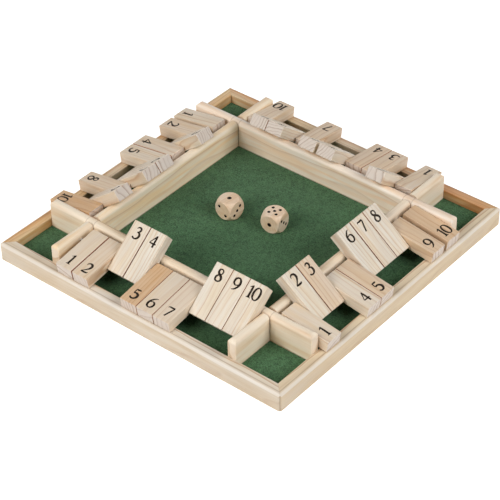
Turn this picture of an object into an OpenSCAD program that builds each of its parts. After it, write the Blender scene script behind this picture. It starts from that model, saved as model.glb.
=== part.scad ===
// Four-player shut the box: a square board with a felt dice tray in the middle
// and a row of ten numbered tiles on each side. Every tile turns on its row's rod,
// from lying outwards on the rail to leaning inwards over the tray wall.
// Origin: centre of the underside. +Z up. The front row is on the -Y side.

/* [Board] */
// Outer width and depth of the board
board_w = 300; // [290:1:330]
// Width of each outer rail
rail_w = 10.2; // [8:0.1:13]
// Height of each outer rail
rail_h = 17; // [15.5:0.1:18.5]
// Rounding along the outer top edge of the rails
rail_round = 3; // [1:0.1:3.5]
// Rounding along the inner top edge of the rails
rail_inner_round = 0.6; // [0.3:0.1:1.2]
// Rounding of the board's four upright corners
corner_round = 2.5; // [1:0.1:3.5]
// Thickness of the base board
base_t = 4; // [3:0.1:4.5]
// Height of the base board's underside above the table
base_lift = 3.8; // [2.8:0.1:4.3]
// Depth of the groove that holds the base board in the rails
groove_d = 5; // [3:0.1:6]
// Gap between the base board's edge and the end of its groove
groove_gap = 0.4; // [0.2:0.1:1]
// Thickness of the felt
felt_t = 1; // [0.6:0.1:1.2]
// Gap between the felt's edge and the rails
felt_gap = 0.2; // [0.1:0.05:0.5]

/* [Walls] */
// Width of the dice tray between its walls
tray_w = 179.3; // [170:0.1:185]
// Thickness of the four walls
wall_t = 8.7; // [8:0.1:10]
// Height of the walls above the felt
wall_h = 25.5; // [24.5:0.1:28]
// Rounding along both top edges of the walls
wall_round = 3.6; // [2:0.1:3.9]
// Rounding of the walls' top corners, over the rails
wall_end_round = 4.5; // [2:0.1:6]
// Rounding of the walls' upright end edges
wall_edge_round = 1.2; // [0.5:0.1:2]
// Gap on each side of a halving joint
joint_gap = 0.1; // [0.05:0.05:0.2]

/* [Rods] */
// Diameter of the rods that the tiles turn on
rod_d = 3; // [2.5:0.1:4]
// Distance from the outer face of a wall to the axis of its rod
rod_set = 15.2; // [13.5:0.05:16]
// Height of the rod axis above the felt
rod_rise = 18.6; // [18:0.1:20]
// Depth of each rod end in its wall
rod_seat = 5; // [3:0.1:7]
// Radial gap between a rod and its seat in a wall
seat_gap = 0.05; // [0.02:0.01:0.08]
// Radial gap between a rod and a tile's bore
bore_gap = 0.08; // [0.03:0.01:0.1]

/* [Tiles] */
// Number of tiles in each row
tile_count = 10; // [9:1:12]
// Thickness of a tile
tile_t = 10.4; // [9:0.1:11]
// Gap between neighbouring tiles
tile_gap = 0.4; // [0.3:0.05:0.8]
// Free length left on each rod beside its ten tiles
row_play = 6.3; // [4:0.1:9]
// Rounding of the tiles' edges
edge_r = 0.5; // [0.3:0.1:1.5]
// Distance from the long end of a lying tile to the rounding of the rail
rest_inset = 0.2; // [0.1:0.1:3]
// Gap under a tile at either end of its swing
rest_gap = 0.15; // [0.05:0.05:0.3]
// Gap between the wall and the short end of a swinging tile
swing_gap = 2.7; // [1.5:0.1:4]

/* [Dice] */
// Width of a die across its flats
die_w = 17.8; // [14:0.1:18]
// Diameter of the ball that rounds a die's corners
die_ball_d = 24.4; // [20:0.1:25]
// Diameter of a pip
pip_d = 2.8; // [2:0.1:3]
// Diameter of the larger, single pip on the 1 face
one_pip_d = 3.8; // [2:0.1:5]
// Depth of a pip
pip_depth = 0.5; // [0.3:0.1:0.8]
// Distance of the outer pips from the centre lines of a face
pip_set = 3.5; // [2.8:0.1:3.8]
// Gap between a die and the felt
die_gap = 0.1; // [0.05:0.05:0.2]
// Left die, distance to the right of the tray's centre
left_die_x = -30.8; // [-50:0.1:-20]
// Left die, distance behind the tray's centre
left_die_y = 7.1; // [-40:0.1:40]
// Left die, turn about the vertical
left_die_turn = -4; // [-20:1:20]
// Right die, distance to the right of the tray's centre
right_die_x = 10.6; // [5:0.1:50]
// Right die, distance behind the tray's centre
right_die_y = 16.8; // [-40:0.1:40]
// Right die, turn about the vertical
right_die_turn = 8; // [-20:1:20]

/* [Hidden] */
sides = ["front", "right", "back", "left"];
// Tiles that stand raised against the wall, in each row
raised = [[3, 4, 8, 9, 10], [2, 3, 6, 7, 8], [2, 5, 6, 8, 9], [3, 6, 7, 9]];
// How far each tile has slid towards the end of its row, as a share of the free length
row_slides = [
    [0.79, 0.88, 0.88, 0.94, 0.97, 0.97, 0.98, 0.98, 0.98, 0.98],
    [0.03, 0.06, 0.10, 0.10, 0.12, 0.23, 0.29, 0.31, 0.33, 0.94],
    [0.02, 0.07, 0.14, 0.14, 0.19, 0.58, 0.58, 0.85, 0.86, 0.94],
    [0.41, 0.85, 0.86, 0.87, 0.90, 0.91, 0.92, 0.98, 0.98, 0.98],
];

$fn = 48;
over = 1;                                      // how far a cut runs past a face

// Heights
base_top = base_lift + base_t;
felt_top = base_top + felt_t;
wall_top = felt_top + wall_h;
halving_z = felt_top + wall_h / 2;
rod_z = felt_top + rod_rise;

// Places across the board, measured outwards from its centre
rail_in = board_w / 2 - rail_w;
wall_in = tray_w / 2;
wall_mid = wall_in + wall_t / 2;
wall_out = wall_in + wall_t;
rod_out = wall_out + rod_set;

// A tile: rod to the rounding centres of its short end and of its long end
half_t = tile_t / 2 - edge_r;
short_arm = sqrt(pow(rod_set - swing_gap - edge_r, 2) - pow(half_t, 2));
rest_out = board_w / 2 - rail_round - rest_inset - rod_out;
rest_drop = rod_z - rail_h - rest_gap - edge_r;
long_arm = sqrt(pow(rest_out, 2) + pow(rest_drop, 2) - pow(half_t, 2));
short_l = short_arm + edge_r;
long_l = long_arm + edge_r;
tile_w = (tray_w - row_play) / tile_count - tile_gap;
tile_pitch = tile_w + tile_gap;

// Turn of a lying tile, and of a raised one that leans on the wall's rounded edge
down_turn = atan2(rest_drop, rest_out) - atan2(half_t, long_arm);
lean_out = rod_set + wall_round;
lean_rise = wall_top - wall_round - rod_z;
lean_reach = tile_t / 2 + rest_gap + wall_round;
up_lean = asin(lean_reach / norm([lean_out, lean_rise])) + atan2(lean_rise, lean_out);
up_turn = up_lean - 180;

pine = "#E3CCA2";
felt_green = "#2F5A41";
steel = "#C9CBCC";
pip_brown = "#3A2418";

// A rectangle with rounded corners, centred
module soft_rect(w, h, r) {
    square([w - 2 * r, h], center = true);
    square([w, h - 2 * r], center = true);
    for (x = [-1, 1], y = [-1, 1])
        translate([x * (w / 2 - r), y * (h / 2 - r)]) circle(r = r);
}

// Drawn along X with its outline in the YZ plane
module along_x(length) {
    translate([-length / 2, 0, 0]) rotate([90, 0, 90]) linear_extrude(length) children();
}

// Everything of a row is drawn on the front side and turned to its own side
module on_side(i) {
    rotate([0, 0, 90 * i]) children();
}

module rail_profile() {
    difference() {
        union() {
            square([rail_w, rail_h - rail_round]);
            translate([rail_round, 0])
                square([rail_w - rail_round - rail_inner_round, rail_h]);
            translate([rail_round, rail_h - rail_round]) circle(r = rail_round);
            translate([rail_round, 0])
                square([rail_w - rail_round, rail_h - rail_inner_round]);
            translate([rail_w - rail_inner_round, rail_h - rail_inner_round])
                circle(r = rail_inner_round);
        }
        translate([rail_w - groove_d, base_lift]) square([groove_d + over, base_t]);
    }
}

// One rail: moulded strip, mitred at both ends
module rail(i) {
    color(pine) on_side(i) intersection() {
        along_x(board_w) translate([-board_w / 2, 0]) rail_profile();
        linear_extrude(rail_h) polygon([[0, 0], [-board_w, -board_w], [board_w, -board_w]]);
        linear_extrude(rail_h) soft_rect(board_w, board_w, corner_round);
    }
}

module base_board() {
    w = 2 * (rail_in + groove_d - groove_gap);
    color(pine) translate([-w / 2, -w / 2, base_lift]) cube([w, w, base_t]);
}

module felt_sheet() {
    w = 2 * (rail_in - felt_gap);
    color(felt_green) translate([-w / 2, -w / 2, base_top]) cube([w, w, felt_t]);
}

module wall_blank() {
    length = 2 * rail_in;
    intersection() {
        along_x(length) {
            translate([-wall_t / 2, 0]) square([wall_t, wall_h - wall_round]);
            translate([wall_round - wall_t / 2, 0]) square([wall_t - 2 * wall_round, wall_h]);
            for (y = [-1, 1])
                translate([y * (wall_t / 2 - wall_round), wall_h - wall_round])
                    circle(r = wall_round);
        }
        rotate([90, 0, 0]) linear_extrude(wall_t, center = true)
            translate([0, wall_h / 2 - wall_end_round])
                soft_rect(length, wall_h + 2 * wall_end_round, wall_end_round);
        linear_extrude(wall_h) soft_rect(length, wall_t, wall_edge_round);
    }
}

// One wall: halved with the two walls it crosses, and drilled for the ends of two rods.
// The front and back walls are cut from below, the left and right ones from above.
module wall(i) {
    slot_w = wall_t + 2 * joint_gap;
    slot_z = i % 2 == 0 ? -over : wall_h / 2;
    color(pine) on_side(i) translate([0, -wall_mid, felt_top]) difference() {
        wall_blank();
        for (x = [-1, 1]) {
            translate([x * wall_mid - slot_w / 2, -wall_t, slot_z])
                cube([slot_w, 2 * wall_t, wall_h / 2 + over]);
            translate([x * rod_out, wall_t / 2 - rod_seat, rod_rise])
                rotate([-90, 0, 0]) cylinder(h = rod_seat + over, d = rod_d + 2 * seat_gap);
        }
    }
}

module rod(i) {
    length = tray_w + 2 * rod_seat;
    color(steel) on_side(i) translate([0, -rod_out, rod_z])
        rotate([0, 90, 0]) cylinder(h = length, d = rod_d, center = true);
}

// One tile with the rod axis along X at its origin and its long end towards -Y
module tile_blank() {
    length = short_l + long_l;
    difference() {
        translate([0, (short_l - long_l) / 2, 0]) intersection() {
            linear_extrude(tile_t, center = true) soft_rect(tile_w, length, edge_r);
            along_x(tile_w) soft_rect(length, tile_t, edge_r);
            rotate([90, 0, 0]) linear_extrude(length, center = true)
                soft_rect(tile_w, tile_t, edge_r);
        }
        rotate([0, 90, 0])
            cylinder(h = tile_w + 2 * over, d = rod_d + 2 * bore_gap, center = true);
    }
}

module tile(i, k) {
    slide = (row_slides[i][min(k, len(row_slides[i])) - 1] - 0.5) * row_play;
    place = slide + (k - (tile_count + 1) / 2) * tile_pitch;
    turn = len(search(k, raised[i])) > 0 ? up_turn : down_turn;
    color(pine) on_side(i) translate([place, -rod_out, rod_z]) rotate([turn, 0, 0]) tile_blank();
}

// Places of the pips on a face that shows n pips
function pips(n) = concat(
    n % 2 == 1 ? [[0, 0]] : [],
    n > 1 ? [[-1, 1], [1, -1]] : [],
    n > 3 ? [[1, 1], [-1, -1]] : [],
    n == 6 ? [[-1, 0], [1, 0]] : []
);

// Turns that bring each face of a die to the top, in the order 1 to 6
face_turns = [[0, 0, 0], [90, 0, 0], [0, 90, 0], [0, -90, 0], [-90, 0, 0], [180, 0, 0]];

// Radius of the ball that cuts a pip of diameter d to its depth
function pip_ball_r(d) = (pow(d / 2, 2) + pow(pip_depth, 2)) / (2 * pip_depth);

// One die, with its 1 at the top, its 2 in front and its 3 on the right
module die_blank() {
    difference() {
        color(pine) intersection() {
            cube(die_w, center = true);
            sphere(d = die_ball_d);
        }
        for (n = [1:6], p = pips(n)) {
            ball_r = pip_ball_r(n == 1 ? one_pip_d : pip_d);
            color(pip_brown) rotate(face_turns[n - 1])
                translate([pip_set * p.x, pip_set * p.y, die_w / 2 - pip_depth + ball_r])
                    sphere(r = ball_r);
        }
    }
}

// A die on the felt, turned onto another face by rotation roll
module die(x, y, turn, roll) {
    translate([x, y, felt_top + die_gap + die_w / 2]) rotate([0, 0, turn]) rotate(roll) die_blank();
}

base_board();
felt_sheet();
for (i = [0:3]) {
    rail(i);
    wall(i);
    rod(i);
    for (k = [1:tile_count])
        tile(i, k);
}
die(left_die_x, left_die_y, left_die_turn, [0, 0, 0]);  // die_left
die(right_die_x, right_die_y, right_die_turn, [90, 0, 0]);  // die_right
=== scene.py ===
# Shut the box board for several players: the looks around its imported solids
import math
import random

import bmesh
import bpy
from mathutils import Matrix, Vector


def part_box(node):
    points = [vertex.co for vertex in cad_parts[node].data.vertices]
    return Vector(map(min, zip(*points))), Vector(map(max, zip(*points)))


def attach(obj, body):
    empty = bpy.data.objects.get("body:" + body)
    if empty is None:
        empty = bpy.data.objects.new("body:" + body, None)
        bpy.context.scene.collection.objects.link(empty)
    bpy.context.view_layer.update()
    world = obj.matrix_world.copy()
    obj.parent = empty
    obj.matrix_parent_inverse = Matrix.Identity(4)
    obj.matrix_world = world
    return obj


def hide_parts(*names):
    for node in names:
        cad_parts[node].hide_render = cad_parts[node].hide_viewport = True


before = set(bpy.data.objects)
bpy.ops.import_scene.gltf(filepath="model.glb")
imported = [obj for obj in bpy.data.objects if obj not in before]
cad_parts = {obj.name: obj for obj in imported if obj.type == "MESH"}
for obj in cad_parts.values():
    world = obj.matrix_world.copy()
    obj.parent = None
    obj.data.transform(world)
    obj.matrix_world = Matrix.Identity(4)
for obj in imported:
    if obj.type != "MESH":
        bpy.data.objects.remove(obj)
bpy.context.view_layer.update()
scene = bpy.context.scene
mm = 0.001
sideNames = ["front", "right", "back", "left"]
print("frame loaded:", len(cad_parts), "solids")


def linear(hexColour):
    # sRGB hex to linear RGBA, by the standard's own curve
    values = [int(hexColour[i:i + 2], 16) / 255 for i in (1, 3, 5)]
    return tuple(v / 12.92 if v <= 0.04045 else ((v + 0.055) / 1.055) ** 2.4 for v in values) + (1.0,)


nodeKinds = {  # short names for the nodes used most, each with its type and settings
    "mix": ("ShaderNodeMix", {"data_type": "RGBA"}),
    "range": ("ShaderNodeMapRange", {}),
    "noise": ("ShaderNodeTexNoise", {}),
    "split": ("ShaderNodeSeparateXYZ", {}),
    "combine": ("ShaderNodeCombineXYZ", {}),
    "coordinates": ("ShaderNodeTexCoord", {}),
    "attribute": ("ShaderNodeAttribute", {}),
    "principled": ("ShaderNodeBsdfPrincipled", {}),
    "materialOutput": ("ShaderNodeOutputMaterial", {}),
    "transform": ("GeometryNodeTransform", {}),
    "store": ("GeometryNodeStoreNamedAttribute", {}),
    "smooth": ("GeometryNodeSetShadeSmooth", {}),
    "greater": ("ShaderNodeMath", {"operation": "GREATER_THAN"}),
    "less": ("ShaderNodeMath", {"operation": "LESS_THAN"}),
    "multiplyAddVector": ("ShaderNodeVectorMath", {"operation": "MULTIPLY_ADD"}),
}
for word in ("absolute", "add", "divide", "floor", "fract", "maximum", "minimum", "multiply", "power",
             "sign", "sqrt", "subtract"):
    nodeKinds[word] = ("ShaderNodeMath", {"operation": word.upper()})
for word in ("absolute", "add", "maximum", "minimum", "multiply", "normalize", "scale", "subtract"):
    nodeKinds[word + "Vector"] = ("ShaderNodeVectorMath", {"operation": word.upper()})


def live(sockets):
    # the sockets in use, by name and by number
    used = [socket for socket in sockets if socket.enabled]
    return {**{socket.name: socket for socket in used}, **dict(enumerate(used))}


def addNode(tree, kind, inputs=(), output=0, **settings):
    # one node with its settings; inputs in order or by name: values, sockets to link, or a list of sockets
    # it gives the output asked for, or all of them for None
    kind, usual = nodeKinds.get(kind, (kind, {}))
    node = tree.nodes.new(kind)
    for name, value in {**usual, **settings}.items():
        setattr(node, name, value)
    sockets = live(node.inputs)
    for key, value in inputs.items() if isinstance(inputs, dict) else enumerate(inputs):
        for source in value if isinstance(value, list) else [value]:
            if isinstance(source, bpy.types.NodeSocket):
                tree.links.new(source, sockets[key])
            else:
                sockets[key].default_value = source
    return live(node.outputs) if output is None else live(node.outputs)[output]


cameraLook = {
    "azimuth": 40.006, "elevation": 38.429, "roll": -0.959,  # degrees
    "distance": 1585.27, "target": (6.24, -11.05, 0.0),      # mm
    "lens": 135.719, "sensor": 36.0,                         # mm
    "nearest": 0.05, "farthest": 20.0,                       # m
}


def addCamera(look):
    a, e, r = (math.radians(look[k]) for k in ("azimuth", "elevation", "roll"))
    back = Vector((math.sin(a) * math.cos(e), -math.cos(a) * math.cos(e), math.sin(e)))
    right = Vector((math.cos(a), math.sin(a), 0))
    up = back.cross(right)
    tiltedRight = right * math.cos(r) + up * math.sin(r)
    tiltedUp = up * math.cos(r) - right * math.sin(r)
    data = bpy.data.cameras.new("boardCamera")
    data.lens, data.sensor_width, data.sensor_fit = look["lens"], look["sensor"], "HORIZONTAL"
    data.clip_start, data.clip_end = look["nearest"], look["farthest"]
    camera = bpy.data.objects.new("boardCamera", data)
    turn = Matrix((tiltedRight, tiltedUp, back)).transposed().to_4x4()
    place = (Vector(look["target"]) + back * look["distance"]) * mm
    camera.matrix_world = Matrix.Translation(place) @ turn
    scene.collection.objects.link(camera)
    scene.camera = camera


lampLook = {  # watts, size and place in metres, colour
    "keyLamp": (28.5, 1.2, (-0.54, -1.66, 1.17), "#FFFCF8"),
    "fillLamp": (26.0, 1.2, (1.69, 0.30, 1.20), "#FFFFFF"),
    "backLamp": (2.5, 1.4, (-1.1, 1.2, 1.3), "#FFFFFF"),
}
studioLook = {
    "worldStrength": 0.06, "world": "#FFFFFF", "background": "#FFFFFF",
    "floor": 12.0,                      # metres
    "card": "#F4F4F4", "cardGlow": 0.8,  # glow: the share of plain white that the camera sees in the card
}


def seenDirectly(tree):
    # 1 for what the camera sees, straight or in metal and glass
    rays = addNode(tree, "ShaderNodeLightPath", output=None)
    seen = addNode(tree, "maximum", [rays["Is Camera Ray"], rays["Is Glossy Ray"]])
    return addNode(tree, "maximum", [seen, rays["Is Transmission Ray"]])


def addLamps(lamps):
    for name, (power, size, place, colour) in lamps.items():
        data = bpy.data.lights.new(name, "AREA")
        data.energy, data.size, data.color = power, size, linear(colour)[:3]
        lamp = bpy.data.objects.new(name, data)
        lamp.location = place
        lamp.rotation_euler = (-Vector(place)).to_track_quat("-Z", "Y").to_euler()
        scene.collection.objects.link(lamp)


def addWorld(look):
    world = bpy.data.worlds.new("paleStudio")
    world.use_nodes = True
    tree = world.node_tree
    tree.nodes.clear()
    lit = addNode(tree, "ShaderNodeBackground", [linear(look["world"]), look["worldStrength"]])
    seen = addNode(tree, "ShaderNodeBackground", [linear(look["background"]), 1.0])
    mixed = addNode(tree, "ShaderNodeMixShader", [seenDirectly(tree), lit, seen])
    addNode(tree, "ShaderNodeOutputWorld", [mixed], None)
    scene.world = world


def newMaterial(name):
    material = bpy.data.materials.new(name)
    material.use_nodes = True
    material.node_tree.nodes.clear()
    return material, material.node_tree


def addFloor(look):
    # matte white card; the camera also sees a share of plain white in it
    mesh = bpy.data.meshes.new("studioFloor")
    h = look["floor"] / 2
    mesh.from_pydata([(-h, -h, 0), (h, -h, 0), (h, h, 0), (-h, h, 0)], [], [(0, 1, 2, 3)])
    floor = bpy.data.objects.new("studioFloor", mesh)
    scene.collection.objects.link(floor)
    material, tree = newMaterial("whiteCard")
    card = addNode(tree, "ShaderNodeBsdfDiffuse", [linear(look["card"])])
    strength = addNode(tree, "multiply", [seenDirectly(tree), look["cardGlow"]])
    glow = addNode(tree, "ShaderNodeEmission", [linear(look["background"]), strength])
    both = addNode(tree, "ShaderNodeAddShader", [card, glow])
    addNode(tree, "materialOutput", [both], None)
    mesh.materials.append(material)


scene.view_settings.view_transform = "Standard"
addCamera(cameraLook)
addLamps(lampLook)
addWorld(studioLook)
addFloor(studioLook)
print("camera, lamps and floor placed")


pineLook = {
    # sanded pine under a thin clear lacquer: pale earlywood, faint amber latewood lines along the grain
    "pale": "#F1E9DB", "warm": "#EBD9BC", "grey": "#E4DBCD", "late": "#C2935E",
    # the last colour here is painted shade, laid on tile sides that stand in a narrow gap beside a neighbour
    "end": "#D9CDC4", "endLine": "#9A7E6C", "toned": "#E2B06C", "gapShadeColour": "#A85C34",
    "darkFibre": "#B48A60", "paleFibre": "#FBF6EC",
    # how much of each the wood takes at most
    "patches": 0.75, "clouds": 0.6, "lines": 0.62, "darkFibres": 0.14, "paleFibres": 0.16,
    "toning": 0.72, "endGrain": 0.8, "gapShading": 0.85,
    # size across and along the grain in mm, detail and roughness of each pattern;
    # real fibres are 0.03 mm, drawn coarser to show
    "patterns": {"wave": (34, 150, 2.0, 0.5), "ripple": (9, 30, 2.0, 0.5), "fibre": (0.55, 26, 3.0, 0.6),
                 "patch": (5, 70, 2.0, 0.5), "cloud": (19, 60, 1.0, 0.5)},
    "wave": 16.0, "ripple": 3.0,  # mm that the rings wander, slowly and over a few centimetres
    "ring": 4.4,                  # mm between growth rings
    "pith": (31.0, 24.0),         # mm to the heart of the tree, across and down
    "lateRise": (0.30, 0.90), "lateFall": (0.92, 1.0), "latePower": 3.2,  # over one ring
    "faintest": 0.15,             # the weakest ring's share of the strongest
    "patchCut": (0.38, 0.64), "cloudCut": (0.48, 0.70), "darkCut": (0.52, 0.72), "paleCut": (0.48, 0.30),
    "tone": 0.0, "toneEnd": 0.0,  # how amber a long board is at its middle and towards one end
    "toneAlong": (0.04, 0.13),    # metres from the middle
    "endNormal": (0.85, 0.97),
    "rough": (0.36, 0.50), "roughCut": (0.3, 0.7), "ior": 1.5, "specular": 0.5,
    "bump": 0.25, "bumpHeight": 0.12, "lineBump": 0.5,  # height in mm
}


def pineMaterial(name, look, grainAlong=None, marks=None):
    # grainAlong: None reads the piece's own grain attribute, "x" or "y" reads object coordinates
    material, tree = newMaterial(name)
    if grainAlong is None:
        grain = addNode(tree, "attribute", (), "Vector", attribute_name="grain")
        endMask = addNode(tree, "attribute", (), "Fac", attribute_name="endFace")
        toneHere = addNode(tree, "attribute", (), "Fac", attribute_name="tone")
    else:
        where = addNode(tree, "coordinates", output=None)
        grain, normal = where["Object"], where["Normal"]
        if grainAlong == "x":  # turn the pattern so that its length lies along X
            quarter = (0, 0, math.pi / 2)
            grain = addNode(tree, "ShaderNodeMapping", {"Vector": grain, "Rotation": quarter})
            normal = addNode(tree, "ShaderNodeMapping", {"Vector": normal, "Rotation": quarter})
        endwise = addNode(tree, "absolute", [addNode(tree, "split", [normal], "Y")])
        endMask = addNode(tree, "range", [endwise, *look["endNormal"]])
        toneHere = addNode(tree, "range", [addNode(tree, "split", [grain], "Y"), *look["toneAlong"],
                                           look["tone"], look["toneEnd"]])
    grainMm = addNode(tree, "scaleVector", [grain, 1 / mm])
    noises = {}
    for pattern, (across, run, detail, roughness) in look["patterns"].items():
        stretched = addNode(tree, "multiplyVector", [grainMm, (1 / across, 1 / run, 1 / across)])
        noises[pattern] = addNode(tree, "noise", [stretched, 1.0, detail, roughness], None)
    # growth rings: distance from the pith, wandering slowly along the board
    shifted = grainMm
    for pattern in ("wave", "ripple"):
        reach = (look[pattern], 0, look[pattern])
        shifted = addNode(tree, "multiplyAddVector", [noises[pattern]["Color"], reach, shifted])
    spot = addNode(tree, "split", [shifted], None)
    fromPith = [addNode(tree, "add", [spot[axis], away]) for axis, away in zip("XZ", look["pith"])]
    squares = [addNode(tree, "multiply", [v, v]) for v in fromPith]
    distance = addNode(tree, "sqrt", [addNode(tree, "add", squares)])
    rings = addNode(tree, "divide", [distance, look["ring"]])
    ring = addNode(tree, "fract", [rings])
    year = addNode(tree, "ShaderNodeTexWhiteNoise", {"W": addNode(tree, "floor", [rings])}, "Value",
                   noise_dimensions="1D")
    rise = addNode(tree, "range", [ring, *look["lateRise"]])
    fall = addNode(tree, "range", [ring, *look["lateFall"], 1.0, 0.0])
    lateWood = addNode(tree, "multiply", [addNode(tree, "power", [rise, look["latePower"]]), fall])
    strength = addNode(tree, "range", [year, 0.0, 1.0, look["faintest"], 1.0])
    lateWood = addNode(tree, "multiply", [lateWood, strength])
    fibre = noises["fibre"]["Fac"]
    layers = [  # the colours laid on in turn, and how much of each
        ("warm", addNode(tree, "range", [noises["patch"]["Fac"], *look["patchCut"], 0.0, look["patches"]])),
        ("grey", addNode(tree, "range", [noises["cloud"]["Fac"], *look["cloudCut"], 0.0, look["clouds"]])),
        ("late", addNode(tree, "multiply", [lateWood, look["lines"]])),
        ("darkFibre", addNode(tree, "range", [fibre, *look["darkCut"], 0.0, look["darkFibres"]])),
        ("paleFibre", addNode(tree, "range", [fibre, *look["paleCut"], 0.0, look["paleFibres"]])),
    ]
    colour = linear(look["pale"])
    for layer, share in layers:
        colour = addNode(tree, "mix", [share, colour, linear(look[layer])])
    amber = addNode(tree, "mix", [look["toning"], colour, linear(look["toned"])], blend_type="MULTIPLY")
    colour = addNode(tree, "mix", [toneHere, colour, amber])
    endWood = addNode(tree, "mix", [lateWood, linear(look["end"]), linear(look["endLine"])])
    colour = addNode(tree, "mix", [addNode(tree, "multiply", [endMask, look["endGrain"]]), colour, endWood])
    if grainAlong is None:
        # painted shade on tile sides in a narrow gap beside a neighbour
        rub = addNode(tree, "attribute", (), "Fac", attribute_name="rub")
        rub = addNode(tree, "multiply", [rub, look["gapShading"]])
        colour = addNode(tree, "mix", [rub, colour, linear(look["gapShadeColour"])])
    if marks:
        colour = marks(tree, colour, grainAlong)
    height = addNode(tree, "add", [fibre, addNode(tree, "multiply", [lateWood, look["lineBump"]])])
    bump = addNode(tree, "ShaderNodeBump", {
        "Strength": look["bump"], "Distance": look["bumpHeight"] * mm, "Height": height})
    rough = addNode(tree, "range", [fibre, *look["roughCut"], *look["rough"]])
    shader = addNode(tree, "principled", {
        "Base Color": colour, "Roughness": rough, "Normal": bump, "IOR": look["ior"],
        "Specular IOR Level": look["specular"]})
    addNode(tree, "materialOutput", [shader], None)
    return material


railMarks = {
    # painted highlight on the outer rounding and painted shade on its upright side, besides the dark seams
    # and line
    "dark": "#8A6541", "highlightPale": "#F4ECE2", "face": "#E4D8C6", "roundingHighlight": 0.6, "shade": 0.45,
    "seam": (0.22, 0.484), "seamSide": 0.8, "seamTop": 0.15,            # mm; how dark on the side and on top
    "lineAt": 146.7, "line": (0.3, 0.6), "lineDark": 0.4, "top": 16.6,  # mm from the middle; height in mm
    # how far the surface faces up (0 upright, 1 level), for the painted highlight on the rounding, the
    # painted shade on the side, and the seams
    "roundFrom": (0.12, 0.35), "roundTo": (0.98, 0.85), "upright": (0.3, 0.1), "seamTurn": (0.2, 0.5),
}


def railSeams(tree, colour, along):
    # glue lines of the mitred corners, a fine line beside the rounded edge, a painted highlight (paler
    # colour) on the rounding, and painted shade on the upright outer side
    look = railMarks
    where = addNode(tree, "coordinates", output=None)
    inMm = addNode(tree, "scaleVector", [where["Object"], 1 / mm])
    spot = addNode(tree, "split", [addNode(tree, "absoluteVector", [inMm])], None)
    facing = addNode(tree, "split", [where["Normal"]], "Z")
    outward = addNode(tree, "maximum", [spot["X"], spot["Y"]])
    outer = addNode(tree, "greater", [outward, look["lineAt"]])
    rounding = addNode(tree, "multiply", [addNode(tree, "range", [facing, *look["roundFrom"]]),
                                          addNode(tree, "range", [facing, *look["roundTo"]])])
    rounding = addNode(tree, "multiply", [rounding, outer])
    # painted highlight: the outer rounding, picked by how far it faces up, is mixed towards a pale colour
    roundingHighlight = addNode(tree, "multiply", [rounding, look["roundingHighlight"]])
    colour = addNode(tree, "mix", [roundingHighlight, colour, linear(look["highlightPale"])])
    # painted shade: the upright outer side is multiplied darker by the face colour
    upright = addNode(tree, "multiply", [addNode(tree, "range", [facing, *look["upright"]]), outer])
    shaded = addNode(tree, "mix", [1.0, colour, linear(look["face"])], blend_type="MULTIPLY")
    colour = addNode(tree, "mix", [addNode(tree, "multiply", [upright, look["shade"]]), colour, shaded])
    apart = addNode(tree, "absolute", [addNode(tree, "subtract", [spot["X"], spot["Y"]])])
    seam = addNode(tree, "range", [apart, *look["seam"], 1.0, 0.0])
    depth = addNode(tree, "range", [facing, *look["seamTurn"], look["seamSide"], look["seamTop"]])
    seam = addNode(tree, "multiply", [seam, depth])
    fromLine = addNode(tree, "absolute", [addNode(tree, "subtract", [outward, look["lineAt"]])])
    line = addNode(tree, "range", [fromLine, *look["line"], look["lineDark"], 0.0])
    line = addNode(tree, "multiply", [addNode(tree, "greater", [spot["Z"], look["top"]]), line])
    return addNode(tree, "mix", [addNode(tree, "maximum", [seam, line]), colour, linear(look["dark"])])


# painted shade: a dark line at each wall's foot and in the joints where walls meet
wallMarks = {
    "dark": "#7A4B22",
    "foot": (9.3, 9.9), "footDark": 0.5,                                # height in mm
    "joints": (89.65, 98.35), "joint": (0.25, 0.75), "jointDark": 0.6,  # mm from the board's middle
    "rounding": (30.5, 33.5), "roundShare": 0.4,                        # height in mm, where a joint fades
}


def wallLines(tree, colour, along):
    # dark lines of painted shade: along the foot, where a wall stands in the felt, and in the narrow joints
    # where walls meet
    look = wallMarks
    inMm = addNode(tree, "scaleVector", [addNode(tree, "coordinates", (), "Object"), 1 / mm])
    spot = addNode(tree, "split", [addNode(tree, "absoluteVector", [inMm])], None)
    # painted shade: a dark line along the foot, where the wall meets the felt
    foot = addNode(tree, "range", [spot["Z"], *look["foot"], look["footDark"], 0.0])
    # painted shade: dark lines in the narrow joints where walls meet, fading on the rounded top
    gaps = [addNode(tree, "absolute", [addNode(tree, "subtract", [spot[along.upper()], place])])
            for place in look["joints"]]
    joint = addNode(tree, "range", [addNode(tree, "minimum", gaps), *look["joint"], look["jointDark"], 0.0])
    fade = addNode(tree, "range", [spot["Z"], *look["rounding"], 1.0, look["roundShare"]])
    joint = addNode(tree, "multiply", [joint, fade])
    return addNode(tree, "mix", [addNode(tree, "maximum", [foot, joint]), colour, linear(look["dark"])])


steelLook = {
    "dull": "#B9BABB", "bright": "#DEDFE0", "rough": (0.2, 0.34),
    "grit": 0.4, "gritCut": (0.3, 0.7),  # mm; the real marks are finer
}


def steelMaterial(look):
    # drawn steel wire: bright, with a fine uneven grit left by the drawing
    material, tree = newMaterial("drawnSteel")
    where = addNode(tree, "coordinates", (), "Object")
    fine = addNode(tree, "scaleVector", [where, 1 / (look["grit"] * mm)])
    grit = addNode(tree, "noise", [fine, 1.0, 2.0], "Fac")
    shader = addNode(tree, "principled", {
        "Base Color": addNode(tree, "mix", [grit, linear(look["dull"]), linear(look["bright"])]),
        "Metallic": 1.0, "Roughness": addNode(tree, "range", [grit, *look["gritCut"], *look["rough"]])})
    addNode(tree, "materialOutput", [shader], None)
    return material


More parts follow.
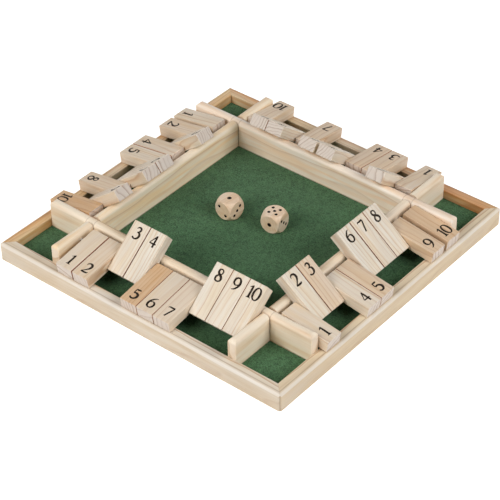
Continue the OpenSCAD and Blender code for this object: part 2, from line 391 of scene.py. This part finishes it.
feltLook = {
    "deep": "#0B2C16", "mid": "#2D5A34", "light": "#5C8D5F", "worn": "#4A6B4C",
    "fibre": 1.0, "clump": 3.5, "wear": 45.0,  # mm; real hairs are 0.02 mm, drawn coarser to show
    "fibreDetail": 3.0, "fibreRough": 0.65, "twist": 1.5,
    "clumps": 0.2, "heightCut": (0.47, 0.73), "mids": 0.2, "wearCut": (0.45, 0.65), "wears": 0.12,
    "bump": 0.6, "bumpHeight": 0.4,            # height in mm
    "rough": 0.95, "specular": 0.1, "sheen": 0.25, "sheenRough": 0.5,
}


def feltMaterial(look):
    # pressed wool felt: matted short fibres, no weave, a faint sheen at low angles
    material, tree = newMaterial("woolFelt")
    inMm = addNode(tree, "scaleVector", [addNode(tree, "coordinates", (), "Object"), 1 / mm])
    hair = addNode(tree, "noise", {
        "Vector": inMm, "Scale": 1 / look["fibre"], "Detail": look["fibreDetail"],
        "Roughness": look["fibreRough"], "Distortion": look["twist"]}, "Fac")
    clump = addNode(tree, "noise", [inMm, 1 / look["clump"], 2.0], "Fac")
    wear = addNode(tree, "noise", [inMm, 1 / look["wear"], 2.0], "Fac")
    height = addNode(tree, "add", [hair, addNode(tree, "multiply", [clump, look["clumps"]])])
    depth = addNode(tree, "range", [height, *look["heightCut"]])
    colour = addNode(tree, "mix", [depth, linear(look["deep"]), linear(look["light"])])
    colour = addNode(tree, "mix", [look["mids"], colour, linear(look["mid"])])
    wearing = addNode(tree, "range", [wear, *look["wearCut"], 0.0, look["wears"]])
    colour = addNode(tree, "mix", [wearing, colour, linear(look["worn"])])
    bump = addNode(tree, "ShaderNodeBump", {
        "Strength": look["bump"], "Distance": look["bumpHeight"] * mm, "Height": height})
    shader = addNode(tree, "principled", {
        "Base Color": colour, "Roughness": look["rough"], "Specular IOR Level": look["specular"],
        "Sheen Weight": look["sheen"], "Sheen Roughness": look["sheenRough"], "Normal": bump})
    addNode(tree, "materialOutput", [shader], None)
    return material


inkLook = {
    "dark": "#20170D", "light": "#382B1C", "rough": 0.6, "specular": 0.15,
    "grit": 2.2, "gritCut": (0.52, 0.75),  # grains in a millimetre
}


def inkMaterial(name, look):
    # screen-printed ink that has sunk a little into the grain
    material, tree = newMaterial(name)
    where = addNode(tree, "coordinates", (), "Object")
    grit = addNode(tree, "noise", [where, look["grit"] / mm, 3.0], "Fac")
    shader = addNode(tree, "principled", {
        "Base Color": addNode(tree, "mix", [addNode(tree, "range", [grit, *look["gritCut"]]),
                                            linear(look["dark"]), linear(look["light"])]),
        "Roughness": look["rough"], "Specular IOR Level": look["specular"]})
    addNode(tree, "materialOutput", [shader], None)
    return material


railLook = dict(pineLook, pale="#EFE6D8", warm="#DFCCAE", late="#B48654", ring=5.0, wave=20.0, ripple=1.6,
                lines=0.8, tone=0.05, toneEnd=0.05)
farRailLook = dict(railLook, pale="#EBCC9C", warm="#DDA768", late="#AC682E", patches=0.95,
                   tone=0.0, toneEnd=0.0)
wallLook = dict(pineLook, pale="#FEF0DA", warm="#F3DBBA", late="#D0A273", grey="#FFF0DE", end="#EEDDC8",
                endLine="#CDB08A", ring=11.0, wave=30.0, ripple=1.0, lines=0.5, patches=0.9,
                tone=0.03, toneEnd=0.03)
farWallLook = dict(wallLook, tone=0.0, toneEnd=0.0)
sideWoods = {  # rail and wall of each side
    "front": (railLook, wallLook),
    "right": (dict(railLook, pale="#EDDFC3", tone=0.15, toneEnd=0.15), wallLook),
    "back": (dict(farRailLook, pale="#E6CDA6", warm="#D8A068", toneEnd=0.9),
             dict(farWallLook, pale="#FFF4E6", warm="#FFE0C0")),
    "left": (farRailLook, dict(farWallLook, pale="#FFF1D9", warm="#FFDFB2", late="#CB9660")),
}
baseLook = dict(pineLook, ring=6.0, tone=0.1, toneEnd=0.1)
# beech of the dice: the same lacquer over closer rings
dieLook = dict(pineLook, pale="#EFD5BA", warm="#E3C09B", late="#BC936A", end="#DDBA9A", ring=2.6, lines=0.4)
basePine = pineMaterial("sandedPineBase", baseLook, "x")
tilePine = pineMaterial("lacqueredPineTile", pineLook)
diePine = pineMaterial("lacqueredBeechDie", dieLook)
rodSteel = steelMaterial(steelLook)
woolFelt = feltMaterial(feltLook)
numberInk = inkMaterial("blackPrintInk", inkLook)
pipInk = inkMaterial("brownPipInk", dict(inkLook, dark="#0E0805", light="#20140E"))
print("finishes made")


def dress(node, material):
    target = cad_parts[node]
    target.data.materials.clear()
    target.data.materials.append(material)


dress("base_board", basePine)
for number, side in enumerate(sideNames):
    along = "xy"[number % 2]
    railWood, wallWood = sideWoods[side]
    dress("rail_" + side, pineMaterial("lacqueredPineRail" + side.capitalize(), railWood, along, railSeams))
    dress("wall_" + side, pineMaterial("lacqueredPineWall" + side.capitalize(), wallWood, along, wallLines))
    dress("rod_" + side, rodSteel)
print("rails, walls, rods and base finished")


feltSheet = {"width": 279.2, "bottom": 7.8, "top": 8.8, "cells": 90}  # mm


def makeFelt(look):
    # one flat cut of felt, closed all round: a grid on top, its rim drawn down, and one face below
    cells = look["cells"]
    step = look["width"] / cells
    half = look["width"] / 2
    top, bottom = look["top"] * mm, look["bottom"] * mm
    mesh = bmesh.new()
    rows = [[mesh.verts.new(((i * step - half) * mm, (j * step - half) * mm, top)) for i in range(cells + 1)]
            for j in range(cells + 1)]
    for near, far in zip(rows, rows[1:]):
        for i in range(cells):
            mesh.faces.new((near[i], near[i + 1], far[i + 1], far[i]))
    rim = rows[0] + [row[-1] for row in rows[1:]] + rows[-1][-2::-1] + [row[0] for row in rows[-2:0:-1]]
    low = [mesh.verts.new((v.co.x, v.co.y, bottom)) for v in rim]
    for i in range(len(rim)):
        mesh.faces.new((low[i - 1], low[i], rim[i], rim[i - 1]))
    mesh.faces.new(low[::-1])
    data = bpy.data.meshes.new("feltLining")
    mesh.to_mesh(data)
    mesh.free()
    data.materials.append(woolFelt)
    felt = bpy.data.objects.new("feltLining", data)
    scene.collection.objects.link(felt)
    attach(felt, "board")
    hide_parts("felt_sheet")


makeFelt(feltSheet)
print("felt laid")


tileSizes = {  # mm
    "width": 16.9, "longArm": 34.8298, "shortArm": 11.5413, "thickness": 10.4, "edge": 0.5, "bore": 1.58,
    "rodOut": 113.55, "rodHeight": 27.4, "pitch": 17.3, "play": 6.3,
    "lyingTurn": 8.5471, "raisedTurn": -142.0816,  # degrees
    "shadeGap": 0.7,  # neighbours that are nearer than this in their slide leave a narrow gap, and their facing sides get painted shade
}
tileMesh = {
    "grid": 10, "strip": 0.5, "middle": 0.33,           # lines along an edge; mm; share of the half size
    "boreSides": 32, "boreOver": 4.0, "sharpEdge": 50,  # mm that the drill stands out; degrees
    "endNormal": (0.8, 0.95), "sideNormal": 0.6,        # how squarely a face looks along or across the tile
}
tileGrain = {"seed": 12, "shift": (0.4, 3.0, 0.15), "scale": (0.7, 1.5)}  # most shift in metres
raisedTiles = [[3, 4, 8, 9, 10], [2, 3, 6, 7, 8], [2, 5, 6, 8, 9], [3, 6, 7, 9]]
rowSlides = [  # share of the row's play that each tile has slid
    [0.79, 0.88, 0.88, 0.94, 0.97, 0.97, 0.98, 0.98, 0.98, 0.98],
    [0.03, 0.06, 0.10, 0.10, 0.12, 0.23, 0.29, 0.31, 0.33, 0.94],
    [0.02, 0.07, 0.14, 0.14, 0.19, 0.58, 0.58, 0.85, 0.86, 0.94],
    [0.41, 0.85, 0.86, 0.87, 0.90, 0.91, 0.92, 0.98, 0.98, 0.98],
]
tileTones = [  # 0 pale to 1 amber
    [0.25, 0.40, 0.10, 0.00, 0.90, 0.25, 0.35, 0.05, 0.08, 0.10],
    [0.25, 0.05, 0.45, 0.20, 0.50, 0.00, 0.12, 0.08, 0.60, 0.80],
    [0.35, 0.15, 0.50, 0.55, 0.15, 0.20, 0.45, 0.10, 0.15, 0.45],
    [0.20, 0.45, 0.15, 0.35, 0.25, 0.10, 0.20, 0.45, 0.25, 1.00],
]


def newTree(name, inputs):
    tree = bpy.data.node_groups.new(name, "GeometryNodeTree")
    tree.is_modifier = True
    tree.interface.new_socket("Geometry", in_out="INPUT", socket_type="NodeSocketGeometry")
    for label, kind in inputs:
        tree.interface.new_socket(label, in_out="INPUT", socket_type="NodeSocket" + kind)
    tree.interface.new_socket("Geometry", in_out="OUTPUT", socket_type="NodeSocketGeometry")
    return tree, addNode(tree, "NodeGroupInput", output=None)


def setInputs(modifier, values):
    for item in modifier.node_group.interface.items_tree:
        if item.item_type == "SOCKET" and item.in_out == "INPUT" and item.name in values:
            modifier[item.identifier] = values[item.name]


def grow(name, tree, values):
    # runs a tree on an empty mesh and returns a plain mesh object
    holder = bpy.data.objects.new(name + "Tree", bpy.data.meshes.new(name + "Tree"))
    scene.collection.objects.link(holder)
    modifier = holder.modifiers.new(name, "NODES")
    modifier.node_group = tree
    setInputs(modifier, values)
    depsgraph = bpy.context.evaluated_depsgraph_get()
    data = bpy.data.meshes.new_from_object(holder.evaluated_get(depsgraph), depsgraph=depsgraph)
    data.name = name
    bpy.data.objects.remove(holder)
    made = bpy.data.objects.new(name, data)
    scene.collection.objects.link(made)
    return made


poseInputs = [("Turn", "Float"), ("Slide", "Float"), ("Rod Out", "Float"), ("Rod Height", "Float"),
              ("Side Turn", "Float")]


def finishTree(tree, geometry, given, material):
    # from the rod's own frame to the tile's place in its row, then to its side of the board, and its finish
    turn = addNode(tree, "combine", [given["Turn"]])
    outwards = addNode(tree, "multiply", [given["Rod Out"], -1.0])
    place = addNode(tree, "combine", [given["Slide"], outwards, given["Rod Height"]])
    inRow = addNode(tree, "transform", {"Geometry": geometry, "Rotation": turn, "Translation": place})
    side = addNode(tree, "combine", {"Z": given["Side Turn"]})
    placed = addNode(tree, "transform", {"Geometry": inRow, "Rotation": side})
    placed = addNode(tree, "GeometryNodeRealizeInstances", [placed])
    placed = addNode(tree, "GeometryNodeSetMaterial", {"Geometry": placed, "Material": given[material]})
    addNode(tree, "NodeGroupOutput", [placed], None)
    return tree


def nearEdges(tree, value, half, radius, look):
    # grid lines of a cube from -1 to 1, moved so that four of them lie in and beside each rounding
    first, second, third = (line / (look["grid"] - 1) for line in (1, 3, 5))
    size = addNode(tree, "absolute", [value])
    inner = addNode(tree, "subtract", [addNode(tree, "subtract", [half, radius]), look["strip"] * mm])
    middle = addNode(tree, "multiply", [inner, look["middle"]])
    rest = addNode(tree, "multiply", [addNode(tree, "range", [size, first, second]),
                                      addNode(tree, "subtract", [inner, middle])])
    body = addNode(tree, "add", [middle, rest])
    strip = addNode(tree, "multiply", [addNode(tree, "range", [size, second, third]), look["strip"] * mm])
    curve = addNode(tree, "multiply", [addNode(tree, "range", [size, third, 1.0]), radius])
    total = addNode(tree, "add", [addNode(tree, "add", [body, strip]), curve])
    return addNode(tree, "multiply", [total, addNode(tree, "sign", [value])])


def buildTileTree(look):
    tree, given = newTree("flipTile", [
        ("Width", "Float"), ("Long Arm", "Float"), ("Short Arm", "Float"), ("Thickness", "Float"),
        ("Edge Radius", "Float"), ("Bore Radius", "Float"), ("Grain Shift", "Vector"),
        ("Grain Scale", "Float"), ("Tone", "Float"), ("Gap Shade Low", "Float"), ("Gap Shade High", "Float"),
        ("Wood", "Material")] + poseInputs)
    # a rounded block: a core of straight sides, and the rounding's radius outwards from it
    cube = addNode(tree, "GeometryNodeMeshCube", [(2, 2, 2), look["grid"], look["grid"], look["grid"]])
    spot = addNode(tree, "split", [addNode(tree, "GeometryNodeInputPosition")], None)
    length = addNode(tree, "add", [given["Long Arm"], given["Short Arm"]])
    halves = [addNode(tree, "multiply", [v, 0.5]) for v in (given["Width"], length, given["Thickness"])]
    radius = given["Edge Radius"]
    grid = addNode(tree, "combine", [nearEdges(tree, spot[i], halves[i], radius, look) for i in range(3)])
    inset = addNode(tree, "combine", [addNode(tree, "subtract", [half, radius]) for half in halves])
    lowest = addNode(tree, "multiplyVector", [inset, (-1, -1, -1)])
    core = addNode(tree, "minimumVector", [addNode(tree, "maximumVector", [grid, lowest]), inset])
    outwards = addNode(tree, "normalizeVector", [addNode(tree, "subtractVector", [grid, core])])
    rounded = addNode(tree, "addVector", [core, addNode(tree, "scaleVector", [outwards, radius])])
    reach = addNode(tree, "subtract", [given["Short Arm"], given["Long Arm"]])
    fromRod = addNode(tree, "combine", {"Y": addNode(tree, "multiply", [reach, 0.5])})
    place = addNode(tree, "addVector", [rounded, fromRod])
    block = addNode(tree, "GeometryNodeSetPosition", {"Geometry": cube, "Position": place})
    drill = addNode(tree, "GeometryNodeMeshCylinder", {
        "Vertices": look["boreSides"], "Radius": given["Bore Radius"],
        "Depth": addNode(tree, "add", [given["Width"], look["boreOver"] * mm])})
    drill = addNode(tree, "transform", {"Geometry": drill, "Rotation": (0, math.pi / 2, 0)})
    tile = addNode(tree, "GeometryNodeMeshBoolean", [block, drill], operation="DIFFERENCE")
    # what the wood needs to know at each place: its own grain, its tone, end faces, and the sides that take
    # painted shade in a narrow gap
    moved = addNode(tree, "addVector", [addNode(tree, "GeometryNodeInputPosition"), given["Grain Shift"]])
    grain = addNode(tree, "scaleVector", [moved, given["Grain Scale"]])
    tile = addNode(tree, "store", {"Geometry": tile, "Name": "grain", "Value": grain},
                   data_type="FLOAT_VECTOR", domain="POINT")
    normal = addNode(tree, "split", [addNode(tree, "GeometryNodeInputNormal")], None)
    endFace = addNode(tree, "range", [addNode(tree, "absolute", [normal["Y"]]), *look["endNormal"]])
    # painted shade on the sides that face a close neighbour
    gapShadeLow = addNode(tree, "less", [normal["X"], -look["sideNormal"]])
    gapShadeHigh = addNode(tree, "greater", [normal["X"], look["sideNormal"]])
    rub = addNode(tree, "add", [addNode(tree, "multiply", [gapShadeLow, given["Gap Shade Low"]]),
                                addNode(tree, "multiply", [gapShadeHigh, given["Gap Shade High"]])])
    for label, value in (("endFace", endFace), ("tone", given["Tone"]), ("rub", rub)):
        tile = addNode(tree, "store", {"Geometry": tile, "Name": label, "Value": value},
                       data_type="FLOAT", domain="FACE")
    angle = addNode(tree, "GeometryNodeInputMeshEdgeAngle")
    sharp = addNode(tree, "greater", [angle, math.radians(look["sharpEdge"])])
    tile = addNode(tree, "smooth", {"Geometry": tile, "Shade Smooth": True}, domain="FACE")
    tile = addNode(tree, "smooth", {"Geometry": tile, "Selection": sharp, "Shade Smooth": False},
                   domain="EDGE")
    return finishTree(tree, tile, given, "Wood")


numberLook = {
    "height": 0.012, "sunk": 0.015,           # mm
    "reachLying": 29.9, "reachRaised": 20.5,  # mm from the rod to the foot of the digits
    "pair": 3.0,                              # mm aside for each of two digits
    "weight": 1.95, "steps": 6,               # times the strokes' width; steps between two points
}
# each stroke of a digit is a list of (x, y, half width) in mm, on a digit 10.6 mm high
digitStrokes = {
    "0": [[(0.0, 10.5, 0.25), (-1.75, 9.6, 0.38), (-2.75, 7.4, 0.51), (-3.0, 5.2, 0.55), (-2.75, 3.0, 0.51),
           (-1.75, 0.95, 0.38), (0.0, 0.1, 0.25), (1.75, 0.95, 0.38), (2.75, 3.0, 0.51), (3.0, 5.3, 0.55),
           (2.75, 7.5, 0.51), (1.75, 9.6, 0.38), (0.0, 10.5, 0.25)]],
    "1": [[(0.35, 10.7, 0.12), (0.3, 10.0, 0.42), (0.25, 7.0, 0.49), (0.25, 3.0, 0.51), (0.25, 0.3, 0.57)],
          [(0.45, 10.6, 0.12), (-0.7, 9.5, 0.28), (-2.3, 8.5, 0.13)],
          [(-1.9, 0.1, 0.12), (-0.7, 0.3, 0.23), (0.25, 0.42, 0.32), (1.2, 0.3, 0.23), (2.4, 0.05, 0.12)]],
    "2": [[(-2.9, 7.8, 0.12), (-2.5, 9.2, 0.27), (-1.1, 10.2, 0.36), (0.5, 10.1, 0.46), (1.9, 9.1, 0.55),
           (2.3, 7.3, 0.59), (1.7, 5.5, 0.51), (0.3, 3.7, 0.34), (-1.4, 1.9, 0.27), (-2.9, 0.45, 0.28)],
          [(-3.1, 0.35, 0.27), (-1.0, 0.45, 0.42), (1.2, 0.50, 0.46), (2.6, 0.75, 0.38), (3.1, 1.8, 0.12)]],
    "3": [[(-2.2, 8.5, 0.12), (-1.4, 9.7, 0.27), (0.1, 10.2, 0.36), (1.5, 9.6, 0.47), (1.9, 8.2, 0.51),
           (1.2, 6.8, 0.38), (-0.7, 5.7, 0.17)],
          [(-0.7, 5.75, 0.17), (1.0, 5.9, 0.34), (2.3, 4.9, 0.51), (2.7, 3.3, 0.57), (2.1, 1.5, 0.49),
           (0.5, 0.3, 0.34), (-1.3, 0.15, 0.32), (-2.7, 1.0, 0.42), (-3.0, 1.4, 0.21)]],
    "4": [[(1.3, 10.6, 0.23), (1.25, 8.0, 0.44), (1.2, 4.0, 0.47), (1.2, 0.0, 0.46)],
          [(1.3, 10.5, 0.23), (0.2, 8.6, 0.30), (-1.5, 5.9, 0.21), (-3.2, 3.5, 0.21)],
          [(-3.4, 3.15, 0.23), (-1.0, 3.15, 0.34), (1.2, 3.15, 0.38), (3.2, 3.2, 0.28)]],
    "5": [[(-2.1, 9.7, 0.36), (0.0, 9.85, 0.42), (2.1, 10.0, 0.30)],
          [(-2.1, 10.0, 0.28), (-2.25, 8.2, 0.27), (-2.35, 6.0, 0.28)],
          [(-2.35, 5.7, 0.36), (-0.6, 6.3, 0.42), (1.2, 5.9, 0.51), (2.5, 4.6, 0.61), (2.7, 3.0, 0.61),
           (1.9, 1.3, 0.51), (0.2, 0.25, 0.40), (-1.6, 0.4, 0.42), (-2.9, 1.5, 0.28)]],
    "6": [[(2.4, 10.7, 0.12), (0.6, 10.0, 0.27), (-1.3, 8.2, 0.42), (-2.6, 5.9, 0.53), (-2.9, 3.8, 0.57),
           (-2.4, 1.8, 0.49), (-1.1, 0.5, 0.36), (0.4, 0.2, 0.32), (2.0, 1.0, 0.44), (2.9, 3.0, 0.51),
           (2.5, 5.0, 0.46), (1.2, 6.2, 0.34), (-0.4, 6.2, 0.25), (-2.2, 5.0, 0.13)]],
    "7": [[(-3.0, 8.7, 0.12), (-2.7, 9.6, 0.28), (-1.0, 9.85, 0.38), (1.2, 9.85, 0.40), (2.9, 10.05, 0.36)],
          [(2.8, 9.9, 0.36), (1.8, 7.0, 0.38), (0.6, 3.6, 0.40), (-0.6, 0.0, 0.38)]],
    "8": [[(1.9, 8.4, 0.36), (1.1, 9.9, 0.30), (-0.2, 10.4, 0.28), (-1.8, 9.7, 0.40), (-2.2, 8.2, 0.47),
           (-1.4, 6.7, 0.51), (0.3, 5.5, 0.55), (2.0, 4.2, 0.57), (2.6, 2.7, 0.53), (1.8, 0.9, 0.38),
           (0.0, 0.15, 0.28), (-1.9, 0.8, 0.40), (-2.6, 2.5, 0.47), (-2.0, 4.2, 0.40), (-0.4, 5.6, 0.30),
           (1.2, 6.8, 0.30), (1.9, 8.4, 0.36)]],
    "9": [[(-2.4, 0.0, 0.12), (-0.6, 0.6, 0.27), (1.3, 2.3, 0.42), (2.6, 4.7, 0.53), (2.9, 6.8, 0.57),
           (2.4, 8.8, 0.49), (1.1, 10.1, 0.36), (-0.4, 10.4, 0.32), (-2.0, 9.6, 0.44), (-2.9, 7.6, 0.51),
           (-2.5, 5.6, 0.46), (-1.2, 4.4, 0.34), (0.4, 4.4, 0.25), (2.2, 5.6, 0.13)]],
}


def digitCurve(name, strokes):
    # one curve object; the points' radius is half the stroke's width
    data = bpy.data.curves.new(name, "CURVE")
    data.dimensions = "3D"
    data.resolution_u = numberLook["steps"]
    for stroke in strokes:
        spline = data.splines.new("BEZIER")
        spline.bezier_points.add(len(stroke) - 1)
        for point, (x, y, half) in zip(spline.bezier_points, stroke):
            point.co = (x * mm, y * mm, 0)
            point.radius = half * numberLook["weight"]
            point.handle_left_type = point.handle_right_type = "AUTO"
    curve = bpy.data.objects.new(name, data)
    scene.collection.objects.link(curve)
    return curve


def buildNumberTree():
    tree, given = newTree("printedNumber", [
        ("Left Digit", "Object"), ("Right Digit", "Object"), ("Pair Distance", "Float"),
        ("Face Height", "Float"), ("Ink Height", "Float"), ("Ink Sunk", "Float"),
        ("Lying Reach", "Float"), ("Raised Reach", "Float"), ("Ink", "Material")] + poseInputs)
    ribbons = []
    for label, direction in (("Left Digit", -1.0), ("Right Digit", 1.0)):
        source = addNode(tree, "GeometryNodeObjectInfo", [given[label]], "Geometry",
                         transform_space="ORIGINAL")
        aside = addNode(tree, "combine", [addNode(tree, "multiply", [given["Pair Distance"], direction])])
        ribbons.append(addNode(tree, "transform", {"Geometry": source, "Translation": aside}))
    joined = addNode(tree, "GeometryNodeJoinGeometry", [ribbons])
    upright = addNode(tree, "GeometryNodeSetCurveNormal", [joined], mode="Z_UP")
    pen = addNode(tree, "GeometryNodeCurvePrimitiveLine", [(-mm, 0, 0), (mm, 0, 0)], mode="POINTS")
    drawn = addNode(tree, "GeometryNodeCurveToMesh", {
        "Curve": upright, "Profile Curve": pen, "Scale": addNode(tree, "GeometryNodeInputRadius")})
    bottom = addNode(tree, "subtract", [given["Face Height"], given["Ink Sunk"]])
    low = addNode(tree, "GeometryNodeSetPosition", {
        "Geometry": drawn, "Offset": addNode(tree, "combine", {"Z": bottom})})
    thick = addNode(tree, "add", [given["Ink Height"], given["Ink Sunk"]])
    ink = addNode(tree, "GeometryNodeExtrudeMesh", {
        "Mesh": low, "Offset": (0, 0, 1), "Offset Scale": thick, "Individual": False}, mode="FACES")
    # the side that shows while the tile lies: read from outside, so the digit's top is towards the rod
    lying = addNode(tree, "combine", {"Y": addNode(tree, "multiply", [given["Lying Reach"], -1.0])})
    lyingSide = addNode(tree, "transform", {"Geometry": ink, "Translation": lying})
    # the side that shows when the tile is raised: turned over about the rod
    raised = addNode(tree, "combine", {"Y": given["Raised Reach"]})
    raisedSide = addNode(tree, "transform", {"Geometry": ink, "Translation": raised})
    raisedSide = addNode(tree, "transform", {"Geometry": raisedSide, "Rotation": (math.pi, 0, 0)})
    both = addNode(tree, "GeometryNodeJoinGeometry", [[lyingSide, raisedSide]])
    return finishTree(tree, both, given, "Ink")


def touching(sideNumber, k, other):
    # 1 where the neighbour stands alike and close, so that the narrow gap between the two sides gets painted
    # shade
    raised, slides = raisedTiles[sideNumber], rowSlides[sideNumber]
    if not 1 <= other <= 10 or (k in raised) != (other in raised):
        return 0.0
    return float(abs(slides[k - 1] - slides[other - 1]) * tileSizes["play"] < tileSizes["shadeGap"])


def makeTiles(sizes, look, grainLook):
    tileTree, numberTree = buildTileTree(tileMesh), buildNumberTree()
    digits = {key: digitCurve("digit" + key, strokes) for key, strokes in digitStrokes.items()}
    chance = random.Random(grainLook["seed"])
    body = {
        "Width": sizes["width"] * mm, "Long Arm": sizes["longArm"] * mm, "Short Arm": sizes["shortArm"] * mm,
        "Thickness": sizes["thickness"] * mm, "Edge Radius": sizes["edge"] * mm,
        "Bore Radius": sizes["bore"] * mm, "Wood": tilePine,
    }
    ink = {
        "Face Height": sizes["thickness"] / 2 * mm, "Ink Height": look["height"] * mm,
        "Ink Sunk": look["sunk"] * mm, "Lying Reach": look["reachLying"] * mm,
        "Raised Reach": look["reachRaised"] * mm, "Ink": numberInk,
    }
    for sideNumber, side in enumerate(sideNames):
        for k in range(1, 11):
            slide = (rowSlides[sideNumber][k - 1] - 0.5) * sizes["play"]
            raised = k in raisedTiles[sideNumber]
            pose = {
                "Turn": math.radians(sizes["raisedTurn" if raised else "lyingTurn"]),
                "Slide": (slide + (k - 5.5) * sizes["pitch"]) * mm,
                "Rod Out": sizes["rodOut"] * mm, "Rod Height": sizes["rodHeight"] * mm,
                "Side Turn": math.radians(90 * sideNumber),
            }
            wood = {
                "Grain Shift": [chance.uniform(-most, most) for most in grainLook["shift"]],
                "Grain Scale": chance.uniform(*grainLook["scale"]), "Tone": tileTones[sideNumber][k - 1],
                "Gap Shade Low": touching(sideNumber, k, k - 1), "Gap Shade High": touching(sideNumber, k, k + 1),
            }
            name = side.capitalize() + str(k)
            node = "tile_{}_{}".format(side, k)
            tile = grow("tile" + name, tileTree, {**pose, **body, **wood})
            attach(tile, node)
            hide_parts(node)
            text = str(k)
            pair = len(text) > 1
            printed = {
                "Left Digit": digits[text[0]], "Right Digit": digits[text[1]] if pair else None,
                "Pair Distance": look["pair"] * mm if pair else 0.0,
            }
            number = grow("number" + name, numberTree, {**pose, **ink, **printed})
            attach(number, node)
    for curve in digits.values():
        bpy.data.objects.remove(curve)


makeTiles(tileSizes, numberLook, tileGrain)
print("tiles and numbers made")


dieSizes = {  # mm
    "width": 17.8, "ball": 24.4, "flatWithin": 0.02, "ballWithin": 0.12, "merge": 0.001,
    "sharpEdge": 24,  # degrees
}
dicePlaces = {  # x and y in mm, turn in degrees, and where its grain lies in the wood, in metres
    "left": (-30.8, 7.1, -4.0, (0.02, 0.3, 0.011)),
    "right": (10.6, 16.8, 8.0, (0.06, 0.3, 0.011)),
}


def makeDie(side, sizes):
    x, y, turn, grainPlace = dicePlaces[side]
    low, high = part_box("die_" + side)
    centre = Vector((x * mm, y * mm, (low[2] + high[2]) / 2))
    back = Matrix.Rotation(-math.radians(turn), 3, "Z")
    mesh = bmesh.new()
    mesh.from_mesh(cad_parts["die_" + side].data)
    bmesh.ops.remove_doubles(mesh, verts=mesh.verts, dist=sizes["merge"] * mm)
    grain = mesh.verts.layers.float_vector.new("grain")
    for v in mesh.verts:
        v[grain] = back @ (v.co - centre) + Vector(grainPlace)
    flatFrom = (sizes["width"] / 2 - sizes["flatWithin"]) * mm
    ballFrom = (sizes["ball"] / 2 - sizes["ballWithin"]) * mm
    for face in mesh.faces:  # what is neither on a flat nor on the ball is inside a pip
        spot = back @ (face.calc_center_median() - centre)
        face.material_index = 0 if max(abs(c) for c in spot) > flatFrom or spot.length > ballFrom else 1
        face.smooth = True
    for edge in mesh.edges:
        if len(edge.link_faces) == 2 and edge.calc_face_angle(0.0) > math.radians(sizes["sharpEdge"]):
            edge.smooth = False
    data = bpy.data.meshes.new(side + "Die")
    mesh.to_mesh(data)
    mesh.free()
    data.materials.append(diePine)
    data.materials.append(pipInk)
    die = bpy.data.objects.new(side + "Die", data)
    scene.collection.objects.link(die)
    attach(die, "die_" + side)
    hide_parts("die_" + side)


for side in dicePlaces:
    makeDie(side, dieSizes)
print("dice made")
